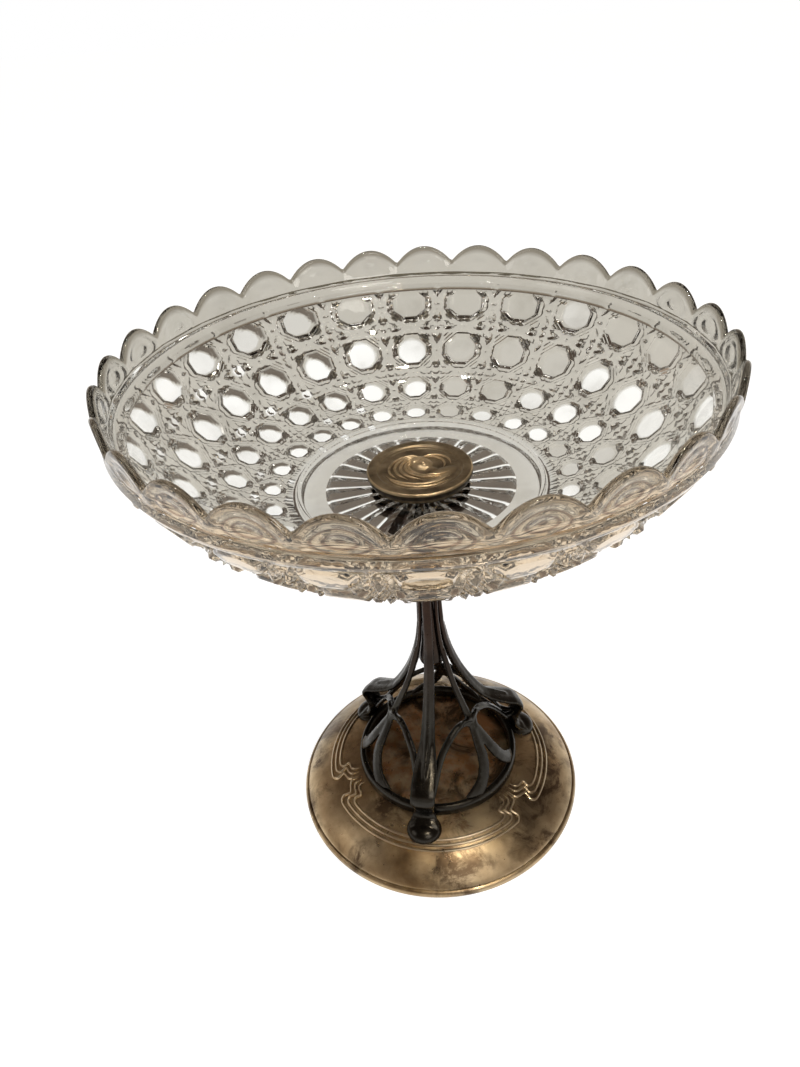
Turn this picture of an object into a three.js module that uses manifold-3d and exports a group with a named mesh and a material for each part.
// Footed serving bowl: a pressed-glass bowl with a scalloped rim, held by a screwed
// medallion on an openwork metal stem with three legs, over a domed metal base.
//
// Millimetres, +Z up. The origin is on the table, at the middle of the base.
// The front of the bowl, the side that the medallion's figure faces, is -Y.

import * as THREE from 'three';
import { mergeVertices } from 'three/addons/utils/BufferGeometryUtils.js';
import Module from 'manifold-3d';

const wasm = await Module();
wasm.setup();

// Driving dimensions

const JOINT_GAP = 0.3; // clearance kept between pieces that are fitted to each other
const SEAT_GAP = 0.1; // clearance under a piece that rests flat on another

// Glass bowl
const RIM_RADIUS = 115; // at the tips of the scallops
const RIM_HEIGHT = 247; // of the tips above the table
const RIM_THICKNESS = 2.6;
const RIM_FLARE = 1.6; // how far the rim leans out above the outer line
const SCALLOP_COUNT = 27;
const SCALLOP_DEPTH = 8.4; // from a tip down to a notch
const SCALLOP_STEPS = 4; // facets along one scallop
const SCALLOP_ROUNDNESS = 0.7; // under 1 makes the scallops fuller than a cosine
const LEDGE_DROP = 13; // from the tips down to the ledge inside
const LEDGE_RADIUS = 110.2;
const LEDGE_STEP = 1.4; // width of the ledge
const FLOOR_HEIGHT = 187; // inner floor above the table
const FLOOR_RADIUS = 50;
const GLASS_THICKNESS = 5.5; // of the floor
const WALL_THICKNESS = 4.2; // between the buttons
const BELLY_RADIUS = 88; // the point that pulls the wall's curve outwards
const BELLY_RISE = 4.5; // of that point above the floor
const WALL_STEPS = 5; // facets up the wall
const GLASS_FOOT_HEIGHT = 2; // ring under the floor
const GLASS_FOOT_WIDTH = 3.6;
const GLASS_HOLE_RADIUS = 4;
const BUTTON_COLUMNS = 24; // columns of raised buttons round the outside of the wall
const BUTTON_ROW_BORDERS = [1, 0.75, 0.455, 0.22, 0.047]; // as shares of the wall's curve
const BUTTON_REACH = 0.33; // from a button's middle to its flat side, in cell widths
const BUTTON_BEVEL = 0.07; // width of the slope round a button, in cell widths
const BUTTON_HEIGHT = 0.07; // above the wall, in cell widths
const BUTTON_ROOT = 0.04; // sunk into the wall, in cell widths

// Medallion and its clamp
const MEDALLION_RADIUS = 21.5;
const MEDALLION_THICKNESS = 3;
const MEDALLION_BORDER = 4.6; // width of the plain border
const MEDALLION_DISH = 0.7; // depth of the field inside the border
const BACKING_RADIUS = 20.3;
const BACKING_THICKNESS = 1.9;
const UPPER_WASHER_RADIUS = 17;
const UPPER_WASHER_THICKNESS = 0.8;
const CLAMP_STUD_RADIUS = 2.5;
const CLAMP_STUD_LENGTH = 24;
const SOCKET_BORE_RADIUS = 3;
const SOCKET_RADIUS = 4.6;
const SOCKET_LENGTH = 16;

// Stem
const LOWER_WASHER_RADIUS = 18;
const LOWER_WASHER_THICKNESS = 1;
const SUPPORT_RADIUS = 20;
const SUPPORT_EDGE = 1.8;
const SUPPORT_HEIGHT = 9;
const COLLAR_RADIUS = 8.2;
const COLLAR_HEIGHT = 18;
const CORE_RADIUS = 2.7;
const CORE_LENGTH = 78;
const LEG_COUNT = 3;
const FIRST_LEG_ANGLE = -101; // degrees from +X, seen from above
const LEG_COLUMN_RADIUS = 4.7; // middle of a leg's rib on the column
const LEG_THICKNESS = 4;
const SHOULDER_RADIUS = 45.5;
const SHOULDER_HEIGHT = 38.8;
const SHOULDER_WIDTH = 12.6;
const FOOT_REACH = 52; // tip of a foot from the axis
const FOOT_HEIGHT = 19.4; // middle of a foot above the table
const FOOT_WIDTH = 17;
const RING_RADIUS = 38.8;
const RING_WIDTH = 4;
const RING_HEIGHT = 5.6;
const KNOT_RADIUS = 22.5; // where the straps between two legs meet
const KNOT_HEIGHT = 56.5;
const STRAP_WIDTH = 4;
const STRAP_THICKNESS = 2.8;

// Base
const BASE_RADIUS = 72;
const BEAD_WIDTH = 4;
const BEAD_HEIGHT = 4.4;
const DOME_HEIGHT = 22.4;
const DOME_THICKNESS = 1.5;
const FOOT_SCREW_RADIUS = 1.6;
const FOOT_SCREW_HEAD_RADIUS = 3.4;
const FOOT_SCREW_HEAD_HEIGHT = 2;
const FOOT_SCREW_REACH = 47.5; // from the axis
const FOOT_WASHER_RADIUS = 4.6;
const FOOT_WASHER_THICKNESS = 0.8;

// Places worked out from the dimensions

const glassUnder = FLOOR_HEIGHT - GLASS_THICKNESS;
const supportTop = glassUnder - LOWER_WASHER_THICKNESS - 2 * SEAT_GAP;
const supportUnder = supportTop - SUPPORT_HEIGHT;
const collarTop = supportUnder - SEAT_GAP;
const collarUnder = collarTop - COLLAR_HEIGHT;
const socketTop = supportTop - 1;
const socketUnder = socketTop - SOCKET_LENGTH;
const legTop = collarUnder - SEAT_GAP;
const coreTop = socketUnder - SEAT_GAP;
const washerTop = FLOOR_HEIGHT + SEAT_GAP + UPPER_WASHER_THICKNESS;
const backingUnder = washerTop + SEAT_GAP;
const faceUnder = backingUnder + BACKING_THICKNESS;
const faceTop = faceUnder + MEDALLION_THICKNESS;
const ledgeHeight = RIM_HEIGHT - LEDGE_DROP;
const legPitch = 360 / LEG_COUNT;

// Materials

function metal(color, roughness, metalness) {
  return new THREE.MeshStandardMaterial({ color, roughness, metalness });
}

const glass = new THREE.MeshStandardMaterial({
  color: 0xd9d6cd, roughness: 0.05, metalness: 0, transparent: true, opacity: 0.35,
});
const bronze = metal(0x7a6650, 0.38, 1);
const darkBronze = metal(0x3a3026, 0.45, 1);
const pewter = metal(0x4a4b4c, 0.36, 1);
const silverPlate = metal(0x8a7659, 0.34, 1);
const steel = metal(0x8d8c88, 0.4, 1);
const cork = new THREE.MeshStandardMaterial({ color: 0x8a6a48, roughness: 0.9, metalness: 0 });

// Shape helpers

const radians = THREE.MathUtils.degToRad;

function vec2(x, y) {
  return new THREE.Vector2(x, y);
}

function signedVolume(geometry) {
  const place = geometry.attributes.position;
  const index = geometry.index;
  const a = new THREE.Vector3();
  const b = new THREE.Vector3();
  const c = new THREE.Vector3();
  let sum = 0;
  for (let i = 0; i < index.count; i += 3) {
    a.fromBufferAttribute(place, index.getX(i));
    b.fromBufferAttribute(place, index.getX(i + 1));
    c.fromBufferAttribute(place, index.getX(i + 2));
    sum += a.dot(b.cross(c)) / 6;
  }
  return sum;
}

// Merges shared corners, drops collapsed triangles and turns the faces outwards.
function sealed(geometry) {
  const bare = geometry.clone();
  bare.deleteAttribute('normal');
  bare.deleteAttribute('uv');
  const merged = mergeVertices(bare, 1e-4);
  const old = merged.index.array;
  const kept = [];
  for (let i = 0; i < old.length; i += 3) {
    const [a, b, c] = [old[i], old[i + 1], old[i + 2]];
    if (a !== b && b !== c && c !== a) {
      kept.push(a, b, c);
    }
  }
  merged.setIndex(kept);
  if (signedVolume(merged) < 0) {
    for (let i = 0; i < kept.length; i += 3) {
      [kept[i], kept[i + 1]] = [kept[i + 1], kept[i]];
    }
    merged.setIndex(kept);
  }
  return merged;
}

function toSolid(geometry) {
  const closed = sealed(geometry);
  return new wasm.Manifold(new wasm.Mesh({
    numProp: 3,
    vertProperties: new Float32Array(closed.attributes.position.array),
    triVerts: new Uint32Array(closed.index.array),
  }));
}

function toGeometry(solid) {
  const mesh = solid.getMesh();
  const geometry = new THREE.BufferGeometry();
  geometry.setAttribute('position', new THREE.BufferAttribute(mesh.vertProperties, 3));
  geometry.setIndex(new THREE.BufferAttribute(mesh.triVerts, 1));
  return geometry;
}

// Turns a closed profile of [radius, height] points about +Z.
function turned(profile, steps) {
  const points = profile.map(([radius, height]) => vec2(radius, height));
  const geometry = new THREE.LatheGeometry(points, steps);
  geometry.rotateX(Math.PI / 2);
  return sealed(geometry);
}

// The profile of a plain tube, closed on itself.
function tubeProfile(inner, outer, low, high) {
  return [[inner, low], [outer, low], [outer, high], [inner, high], [inner, low]];
}

// Skins a bar through stations. Each station has its middle, the directions of its
// width and thickness, and those two sizes; the section is a rounded rectangle.
function bar(stations, sides = 8) {
  const positions = [];
  const index = [];
  const squareness = 0.75; // 1 is an ellipse, lower is nearer a rectangle
  for (const { middle, across, through, width, thickness } of stations) {
    for (let k = 0; k < sides; k += 1) {
      const angle = ((k + 0.5) / sides) * 2 * Math.PI;
      const c = Math.cos(angle);
      const s = Math.sin(angle);
      const u = 0.5 * width * Math.sign(c) * Math.abs(c) ** squareness;
      const v = 0.5 * thickness * Math.sign(s) * Math.abs(s) ** squareness;
      const point = middle.clone().addScaledVector(across, u).addScaledVector(through, v);
      positions.push(point.x, point.y, point.z);
    }
  }
  for (let i = 0; i < stations.length - 1; i += 1) {
    for (let k = 0; k < sides; k += 1) {
      const a = i * sides + k;
      const b = i * sides + ((k + 1) % sides);
      index.push(a, b, b + sides, a, b + sides, a + sides);
    }
  }
  const last = (stations.length - 1) * sides;
  for (let k = 1; k < sides - 1; k += 1) {
    index.push(0, k + 1, k, last, last + k, last + k + 1);
  }
  const geometry = new THREE.BufferGeometry();
  geometry.setAttribute('position', new THREE.Float32BufferAttribute(positions, 3));
  geometry.setIndex(index);
  return sealed(geometry);
}

// A smooth route through rows of [angle, radius, height, width, thickness], where the
// angle is in degrees. Each station's thickness points away from the stem's axis, and
// `grow` fattens the bar on every side, for cutting its neighbours.
function strap(rows, steps, grow = 0) {
  const route = new THREE.CatmullRomCurve3(rows.map(([angle, radius, height]) => (
    new THREE.Vector3(radius * Math.cos(radians(angle)), radius * Math.sin(radians(angle)), height)
  )), false, 'centripetal');
  const sizes = new THREE.CatmullRomCurve3(rows.map(([, , , width, thickness], i) => (
    new THREE.Vector3(width, thickness, i)
  )), false, 'centripetal');
  const stations = [];
  for (let i = 0; i <= steps; i += 1) {
    const t = i / steps;
    const middle = route.getPoint(t);
    const along = route.getTangent(t);
    const outward = new THREE.Vector3(middle.x, middle.y, 0).normalize();
    const lift = new THREE.Vector3(0, 0, 1);
    const away = outward.add(lift.multiplyScalar(0.6));
    const through = away.addScaledVector(along, -away.dot(along)).normalize();
    const across = new THREE.Vector3().crossVectors(along, through).normalize();
    const size = sizes.getPoint(t);
    if (i === 0) {
      middle.addScaledVector(along, -grow);
    }
    if (i === steps) {
      middle.addScaledVector(along, grow);
    }
    stations.push({
      middle, across, through, width: size.x + 2 * grow, thickness: size.y + 2 * grow,
    });
  }
  return bar(stations, 6);
}

// Glass bowl

// Inner wall from the floor's edge up to the ledge: one smooth belly.
const wallCurve = new THREE.QuadraticBezierCurve(
  vec2(FLOOR_RADIUS, FLOOR_HEIGHT),
  vec2(BELLY_RADIUS, FLOOR_HEIGHT + BELLY_RISE),
  vec2(LEDGE_RADIUS - LEDGE_STEP, ledgeHeight - 0.8),
);

// A place over the wall's inside, at a share of its curve and a depth outwards.
function wallPlace(share, depth) {
  const place = wallCurve.getPoint(share);
  const along = wallCurve.getTangent(share);
  return vec2(place.x + along.y * depth, place.y - along.x * depth);
}

function outerWallPoints(steps) {
  return Array.from({ length: steps }, (_, i) => wallPlace((i + 1) / steps, WALL_THICKNESS));
}

// One button: an eight-sided block with a sloping edge, sunk into the wall. Its corners
// follow the wall's curve, so its flat does too.
function glassButton(degrees, low, high) {
  const sides = 8;
  const middle = (low + high) / 2;
  const cell = (2 * Math.PI * wallPlace(middle, WALL_THICKNESS).x) / BUTTON_COLUMNS;
  const place = (reach, side, depth) => {
    const angle = ((side + 0.5) / sides) * 2 * Math.PI;
    const corner = reach / Math.cos(Math.PI / sides);
    const flat = wallPlace(middle + corner * Math.sin(angle) * (high - low), depth);
    const turn = radians(degrees + (corner * Math.cos(angle) * 360) / BUTTON_COLUMNS);
    return [flat.x * Math.cos(turn), flat.x * Math.sin(turn), flat.y];
  };
  const root = WALL_THICKNESS - BUTTON_ROOT * cell;
  const top = WALL_THICKNESS + BUTTON_HEIGHT * cell;
  const rings = [
    [BUTTON_REACH + (BUTTON_BEVEL * BUTTON_ROOT) / BUTTON_HEIGHT, root],
    [BUTTON_REACH - BUTTON_BEVEL, top],
  ];
  const positions = [];
  const index = [];
  for (const [reach, depth] of rings) {
    for (let side = 0; side < sides; side += 1) {
      positions.push(...place(reach, side, depth));
    }
  }
  positions.push(...place(0, 0, root), ...place(0, 0, top));
  for (let side = 0; side < sides; side += 1) {
    const next = (side + 1) % sides;
    index.push(side, next, next + sides, side, next + sides, side + sides);
    index.push(next, side, 2 * sides, side + sides, next + sides, 2 * sides + 1);
  }
  const geometry = new THREE.BufferGeometry();
  geometry.setAttribute('position', new THREE.Float32BufferAttribute(positions, 3));
  geometry.setIndex(index);
  return toSolid(geometry);
}

function glassButtons() {
  const buttons = [];
  for (let row = 1; row < BUTTON_ROW_BORDERS.length; row += 1) {
    for (let column = 0; column < BUTTON_COLUMNS; column += 1) {
      const degrees = (column * 360) / BUTTON_COLUMNS;
      buttons.push(glassButton(degrees, BUTTON_ROW_BORDERS[row], BUTTON_ROW_BORDERS[row - 1]));
    }
  }
  return buttons;
}

function glassBowl() {
  const rimOuter = RIM_RADIUS;
  const rimInner = RIM_RADIUS - RIM_THICKNESS;
  const footOuter = FLOOR_RADIUS + 2.4;
  const footInner = footOuter - GLASS_FOOT_WIDTH;
  const profile = [
    vec2(GLASS_HOLE_RADIUS, FLOOR_HEIGHT),
    ...wallCurve.getPoints(WALL_STEPS),
    vec2(LEDGE_RADIUS, ledgeHeight),
    vec2(rimInner, RIM_HEIGHT - 1.2),
    vec2((rimInner + rimOuter) / 2, RIM_HEIGHT),
    vec2(rimOuter, RIM_HEIGHT - 1.2),
    vec2(rimOuter - RIM_FLARE, ledgeHeight - 1),
    ...outerWallPoints(WALL_STEPS).reverse(),
    vec2(footOuter, glassUnder + 0.8),
    vec2(footOuter - 0.5, glassUnder - GLASS_FOOT_HEIGHT),
    vec2(footInner, glassUnder - GLASS_FOOT_HEIGHT),
    vec2(footInner - 0.9, glassUnder),
    vec2(GLASS_HOLE_RADIUS, glassUnder),
    vec2(GLASS_HOLE_RADIUS, FLOOR_HEIGHT),
  ];
  const steps = SCALLOP_COUNT * SCALLOP_STEPS;
  const geometry = new THREE.LatheGeometry(profile, steps);
  geometry.rotateX(Math.PI / 2);
  geometry.rotateZ(Math.PI / 2);
  // Everything above the band rises and falls with the scallops. A notch lies at angle
  // 0 here, and a tip is turned over the first leg afterwards.
  const place = geometry.attributes.position;
  for (let i = 0; i < place.count; i += 1) {
    if (place.getZ(i) > ledgeHeight + 1) {
      const angle = Math.atan2(place.getY(i), place.getX(i));
      const crest = Math.abs(Math.sin((angle * SCALLOP_COUNT) / 2)) ** SCALLOP_ROUNDNESS;
      place.setZ(i, place.getZ(i) - SCALLOP_DEPTH * (1 - crest));
    }
  }
  geometry.rotateZ(radians(FIRST_LEG_ANGLE + 180 / SCALLOP_COUNT));
  return toGeometry(glassButtons().reduce((solid, button) => solid.add(button), toSolid(geometry)));
}

// Medallion and clamp

function medallionFace() {
  const field = MEDALLION_RADIUS - MEDALLION_BORDER;
  return turned([
    [0, faceTop - MEDALLION_DISH * 0.4],
    [field * 0.6, faceTop - MEDALLION_DISH * 0.6],
    [field, faceTop - MEDALLION_DISH],
    [field + 1, faceTop],
    [MEDALLION_RADIUS - 1.6, faceTop],
    [MEDALLION_RADIUS - 0.5, faceTop - 0.6],
    [MEDALLION_RADIUS, faceTop - 1.5],
    [MEDALLION_RADIUS - 0.4, faceUnder],
    [0, faceUnder],
  ], 48);
}

function medallionBacking() {
  const high = faceUnder - SEAT_GAP;
  return turned([
    [0, backingUnder],
    [BACKING_RADIUS - 0.6, backingUnder],
    [BACKING_RADIUS, backingUnder + 0.5],
    [BACKING_RADIUS, high],
    [0, high],
  ], 40);
}

function upperWasher() {
  const low = FLOOR_HEIGHT + SEAT_GAP;
  return turned(tubeProfile(GLASS_HOLE_RADIUS, UPPER_WASHER_RADIUS, low, washerTop), 32);
}

function clampStud() {
  const high = backingUnder - SEAT_GAP / 2;
  const low = high - CLAMP_STUD_LENGTH;
  return turned([
    [0, low],
    [CLAMP_STUD_RADIUS - 0.7, low],
    [CLAMP_STUD_RADIUS, low + 0.7],
    [CLAMP_STUD_RADIUS, high],
    [0, high],
  ], 16);
}

// Stem

function lowerWasher() {
  const low = supportTop + SEAT_GAP;
  const high = low + LOWER_WASHER_THICKNESS;
  return turned(tubeProfile(SOCKET_RADIUS + JOINT_GAP, LOWER_WASHER_RADIUS, low, high), 32);
}

function supportPlate() {
  const bore = SOCKET_RADIUS + JOINT_GAP;
  return turned([
    [bore, supportUnder],
    [COLLAR_RADIUS - 1.2, supportUnder],
    [COLLAR_RADIUS, supportUnder + 3.4],
    [SUPPORT_RADIUS * 0.62, supportUnder + 6],
    [SUPPORT_RADIUS - 0.5, supportTop - SUPPORT_EDGE],
    [SUPPORT_RADIUS, supportTop - SUPPORT_EDGE / 2],
    [SUPPORT_RADIUS - 0.4, supportTop],
    [bore, supportTop],
    [bore, supportUnder],
  ], 36);
}

function stemCollar() {
  const bore = SOCKET_RADIUS + JOINT_GAP;
  const middle = collarUnder + COLLAR_HEIGHT * 0.55;
  return turned([
    [bore, collarUnder],
    [COLLAR_RADIUS - 1.2, collarUnder],
    [COLLAR_RADIUS - 0.9, collarUnder + 2],
    [COLLAR_RADIUS - 2.2, collarUnder + 3],
    [COLLAR_RADIUS - 2, middle - 3],
    [COLLAR_RADIUS, middle],
    [COLLAR_RADIUS - 2, middle + 3],
    [COLLAR_RADIUS - 2, collarTop - 1],
    [COLLAR_RADIUS - 1.4, collarTop],
    [bore, collarTop],
    [bore, collarUnder],
  ], 28);
}

function stemSocket() {
  return turned(tubeProfile(SOCKET_BORE_RADIUS, SOCKET_RADIUS, socketUnder, socketTop), 20);
}

function stemCore() {
  const low = coreTop - CORE_LENGTH;
  return turned([
    [0, low],
    [CORE_RADIUS * 0.3, low],
    [CORE_RADIUS, low + 6],
    [CORE_RADIUS, coreTop],
    [0, coreTop],
  ], 12);
}

// A leg: a rib down the column that sweeps out to the shoulder, hooks down and ends in
// a rounded foot outside the ring. Each row of the sweep says how far it has come from
// the column to the shoulder, outwards and down, and its width and thickness, all as
// shares of the whole way, of the shoulder's width and of the leg's thickness.
const legSweep = [
  [0, 0, 0.35, 0.75],
  [0, 0.246, 0.35, 0.75],
  [0.015, 0.403, 0.365, 0.8],
  [0.074, 0.535, 0.4, 0.9],
  [0.186, 0.666, 0.445, 1],
  [0.333, 0.78, 0.51, 1],
  [0.498, 0.874, 0.635, 0.95],
  [0.657, 0.918, 0.87, 0.9],
  [0.828, 0.955, 1, 0.85],
  [0.966, 0.984, 1, 0.85],
];

// The hook goes from the shoulder to the foot; its widths are shares of the foot's.
const legHook = [
  [0.138, 0.103, 0.74, 0.8],
  [-0.06, 0.34, 0.61, 0.8],
  [-0.34, 0.567, 0.59, 0.85],
  [-0.25, 0.804, 0.74, 0.95],
  [0.246, 0.928, 0.92, 1.05],
  [0.446, 1.02, 1, 0.9],
  [0.86, 1.093, 0.765, 0.7],
  [1, 1.124, 0.41, 0.45],
];

// Rows of radius, height, width and thickness between two places on a leg.
function legStretch(shares, [fromRadius, fromHeight], [toRadius, toHeight], width) {
  return shares.map(([out, down, wide, thick]) => [
    fromRadius + out * (toRadius - fromRadius),
    fromHeight - down * (fromHeight - toHeight),
    wide * width,
    thick * LEG_THICKNESS,
  ]);
}

const shoulder = [SHOULDER_RADIUS, SHOULDER_HEIGHT];
const legRows = [
  ...legStretch(legSweep, [LEG_COLUMN_RADIUS, legTop], shoulder, SHOULDER_WIDTH),
  ...legStretch(legHook, shoulder, [FOOT_REACH, FOOT_HEIGHT], FOOT_WIDTH),
];

function legBar(degrees, grow = 0) {
  const angle = radians(degrees);
  const outward = new THREE.Vector3(Math.cos(angle), Math.sin(angle), 0);
  const across = new THREE.Vector3(-Math.sin(angle), Math.cos(angle), 0);
  const steps = 30;
  const route = new THREE.CatmullRomCurve3(legRows.map(([radius, height]) => (
    new THREE.Vector3(radius, 0, height)
  )), false, 'centripetal');
  const sizes = new THREE.CatmullRomCurve3(legRows.map(([, , width, thickness], i) => (
    new THREE.Vector3(width, thickness, i)
  )), false, 'centripetal');
  const stations = [];
  for (let i = 0; i <= steps; i += 1) {
    // More stations go to the shoulder and foot than to the long rib.
    const t = (i / steps) ** 0.8;
    const flat = route.getPoint(t);
    const along = route.getTangent(t);
    const size = sizes.getPoint(t);
    const endShift = (i === 0 ? -grow : 0) + (i === steps ? grow : 0);
    const middle = outward.clone().multiplyScalar(flat.x + along.x * endShift);
    middle.z = flat.z + along.z * endShift;
    const through = outward.clone().multiplyScalar(along.z);
    through.z = -along.x;
    stations.push({
      middle, across, through, width: size.x + 2 * grow, thickness: size.y + 2 * grow,
    });
  }
  return bar(stations);
}

function ringBar(grow = 0) {
  const wide = RING_WIDTH / 2 + grow;
  const low = domeHeightAt(RING_RADIUS) - 1 - grow;
  const high = domeHeightAt(RING_RADIUS) + RING_HEIGHT + grow;
  return turned([
    [RING_RADIUS - wide, low],
    [RING_RADIUS + wide, low],
    [RING_RADIUS + wide, high - 1.8],
    [RING_RADIUS + wide * 0.45, high],
    [RING_RADIUS - wide * 0.45, high],
    [RING_RADIUS - wide, high - 1.8],
    [RING_RADIUS - wide, low],
  ], 48);
}

// The straps between two legs: a rib down the column to the knot, an arm to each leg's
// shoulder and a tail from the knot to the ring on each side. Each row holds an angle
// from the middle of the gap, then a radius and a height as shares of the knot's, and a
// width and a thickness as shares of a plain strap's.
const ribShares = [
  [0, 0.32, 1.63, 0.65, 0.86],
  [0, 0.56, 1.345, 0.75, 0.93],
  [0, 0.765, 1.168, 0.9, 1],
  [0, 1, 1, 1.15, 1.07],
  [0, 1.133, 0.912, 1.25, 1.07],
];
const armShares = [
  [1, 1.107, 0.94, 0.75, 1],
  [7, 0.982, 1.021, 0.9, 1],
  [20, 0.96, 1.019, 0.95, 1],
  [36, 1.084, 0.949, 1, 1],
  [46, 1.244, 0.841, 1, 1],
  [52, 1.467, 0.701, 1.1, 1],
  [56, 1.689, 0.549, 1.25, 1],
];
const tailShares = [
  [2, 1.062, 0.968, 1, 1],
  [5, 1.267, 0.834, 1.35, 1],
  [7.5, 1.471, 0.703, 1.6, 1],
  [14, 1.622, 0.5575, 1.75, 1],
  [21, 1.693, 0.48, 1.9, 1],
  [28, 1.724, 0.398, 2.1, 1],
];

function webBars(middleAngle) {
  const rowsOf = (shares, side) => shares.map(([angle, radius, height, wide, thick]) => [
    middleAngle + side * angle,
    radius * KNOT_RADIUS,
    height * KNOT_HEIGHT,
    wide * STRAP_WIDTH,
    thick * STRAP_THICKNESS,
  ]);
  const ribRadius = LEG_COLUMN_RADIUS - JOINT_GAP;
  const ribStraight = (height) => (
    [middleAngle, ribRadius, height, STRAP_WIDTH / 2, STRAP_THICKNESS * 0.8]
  );
  const rib = [ribStraight(legTop), ribStraight(KNOT_HEIGHT * 2), ...rowsOf(ribShares, 1)];
  return [
    strap(rib, 12),
    ...[-1, 1].flatMap((side) => [
      strap(rowsOf(armShares, side), 11),
      strap(rowsOf(tailShares, side), 9),
    ]),
  ];
}

// Base

// Height of the dome's upper surface at a radius: nearly flat in the middle, rolling
// down to the bead.
function domeHeightAt(radius) {
  const share = radius / (BASE_RADIUS - BEAD_WIDTH / 2);
  return BEAD_HEIGHT + (DOME_HEIGHT - BEAD_HEIGHT) * (1 - share ** 3.2) ** 0.85;
}

function domeProfile(drop) {
  const edge = BASE_RADIUS - BEAD_WIDTH / 2;
  const shares = [0, 0.3, 0.5, 0.65, 0.78, 0.87, 0.94, 0.985, 1];
  return shares.map((share) => [share * edge, domeHeightAt(share * edge) + drop]);
}

function baseDome() {
  const upper = domeProfile(SEAT_GAP);
  const edge = BASE_RADIUS - BEAD_WIDTH / 2;
  const under = [0, 0.3, 0.5, 0.65, 0.78, 0.87, 0.93].map((share) => (
    [share * edge, domeHeightAt(share * edge) - DOME_THICKNESS]
  ));
  const lip = [edge - 2.2, BEAD_HEIGHT + SEAT_GAP];
  const shell = toSolid(turned([...under, lip, ...upper.reverse()], 54));
  return toGeometry(legAngles().reduce((solid, degrees) => (
    solid.subtract(toSolid(upright(degrees, FOOT_SCREW_RADIUS + JOINT_GAP, 0, 30)))
  ), shell));
}

function baseBead() {
  const inner = BASE_RADIUS - BEAD_WIDTH;
  return turned([
    [inner, 0],
    [BASE_RADIUS - 0.9, 0],
    [BASE_RADIUS - 0.2, 0.9],
    [BASE_RADIUS, BEAD_HEIGHT * 0.5],
    [BASE_RADIUS - 0.3, BEAD_HEIGHT * 0.78],
    [BASE_RADIUS - 1.2, BEAD_HEIGHT],
    [inner, BEAD_HEIGHT],
    [inner, 0],
  ], 54);
}

function legAngles() {
  return Array.from({ length: LEG_COUNT }, (_, i) => FIRST_LEG_ANGLE + i * legPitch);
}

// An upright cylinder at a foot's screw.
function upright(degrees, radius, low, high, steps = 16) {
  const geometry = new THREE.CylinderGeometry(radius, radius, high - low, steps);
  geometry.rotateX(Math.PI / 2);
  const angle = radians(degrees);
  geometry.translate(FOOT_SCREW_REACH * Math.cos(angle), FOOT_SCREW_REACH * Math.sin(angle), (low + high) / 2);
  return geometry;
}

const screwSeat = domeHeightAt(FOOT_SCREW_REACH + FOOT_WASHER_RADIUS) - DOME_THICKNESS - 2 * JOINT_GAP;
const screwTop = domeHeightAt(FOOT_SCREW_REACH) + 2.4;

function footWasher(degrees) {
  const low = screwSeat - FOOT_WASHER_THICKNESS;
  const disc = toSolid(upright(degrees, FOOT_WASHER_RADIUS, low, screwSeat, 20));
  return toGeometry(disc.subtract(toSolid(upright(degrees, FOOT_SCREW_RADIUS + JOINT_GAP, 0, 30))));
}

function footScrew(degrees) {
  const high = screwSeat - FOOT_WASHER_THICKNESS - SEAT_GAP;
  const head = upright(degrees, FOOT_SCREW_HEAD_RADIUS, high - FOOT_SCREW_HEAD_HEIGHT, high, 18);
  const shank = upright(degrees, FOOT_SCREW_RADIUS, high - 0.5, screwTop, 12);
  return toGeometry(toSolid(head).add(toSolid(shank)));
}

// A solid dome that clears what stands on the base.
function domeCutter() {
  const edge = BASE_RADIUS - BEAD_WIDTH / 2;
  return toSolid(turned([[0, 0], [edge, 0], ...domeProfile(SEAT_GAP + JOINT_GAP).reverse()], 54));
}

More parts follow.
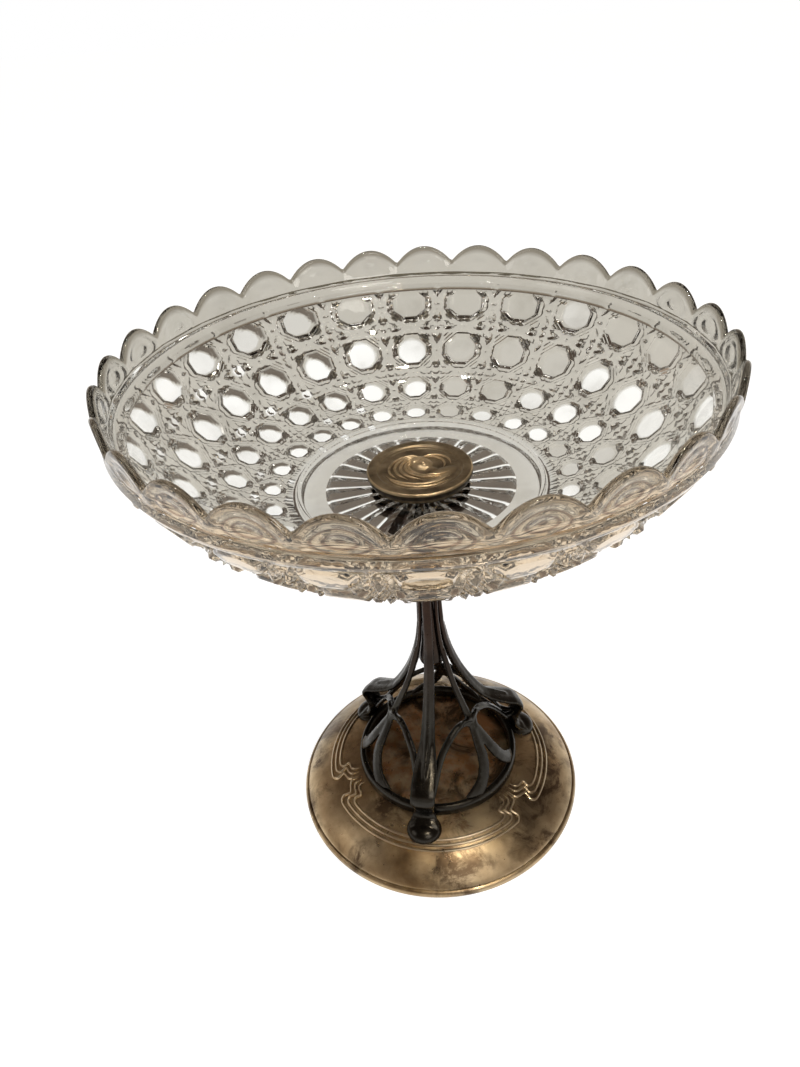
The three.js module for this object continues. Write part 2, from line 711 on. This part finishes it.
function stemLeg(degrees) {
  const screwHole = toSolid(upright(degrees, FOOT_SCREW_RADIUS + JOINT_GAP, 0, screwTop + JOINT_GAP));
  return toGeometry(toSolid(legBar(degrees)).subtract(domeCutter()).subtract(screwHole));
}

function stemRing() {
  return toGeometry(legAngles().reduce((solid, degrees) => (
    solid.subtract(toSolid(legBar(degrees, JOINT_GAP)))
  ), toSolid(ringBar()).subtract(domeCutter())));
}

function stemWeb(degrees) {
  const [first, ...others] = webBars(degrees + legPitch / 2).map(toSolid);
  const joined = others.reduce((solid, other) => solid.add(other), first);
  const trimmed = joined
    .subtract(toSolid(legBar(degrees, JOINT_GAP)))
    .subtract(toSolid(legBar(degrees + legPitch, JOINT_GAP)))
    .subtract(toSolid(ringBar(JOINT_GAP)));
  // The largest piece left is the web: cut ends beyond a leg or the ring fall away.
  const pieces = trimmed.decompose();
  pieces.sort((a, b) => b.volume() - a.volume());
  return toGeometry(pieces[0]);
}

// The whole bowl

const servingBowl = new THREE.Group();

function addPiece(name, geometry, material) {
  const mesh = new THREE.Mesh(geometry, material);
  mesh.name = name;
  servingBowl.add(mesh);
}

addPiece('glass_bowl', glassBowl(), glass);
addPiece('medallion_face', medallionFace(), bronze);
addPiece('medallion_backing', medallionBacking(), darkBronze);
addPiece('clamp_stud', clampStud(), steel);
addPiece('upper_washer', upperWasher(), cork);
addPiece('lower_washer', lowerWasher(), cork);
addPiece('support_plate', supportPlate(), pewter);
addPiece('stem_collar', stemCollar(), pewter);
addPiece('stem_socket', stemSocket(), steel);
addPiece('stem_core', stemCore(), pewter);
legAngles().forEach((degrees, i) => {
  addPiece(`stem_leg_${i + 1}`, stemLeg(degrees), pewter);
  addPiece(`stem_web_${i + 1}`, stemWeb(degrees), pewter);
});
addPiece('stem_ring', stemRing(), pewter);
addPiece('base_dome', baseDome(), silverPlate);
addPiece('base_bead', baseBead(), silverPlate);
legAngles().forEach((degrees, i) => {
  addPiece(`foot_washer_${i + 1}`, footWasher(degrees), steel);
  addPiece(`foot_screw_${i + 1}`, footScrew(degrees), steel);
});

export default servingBowl;
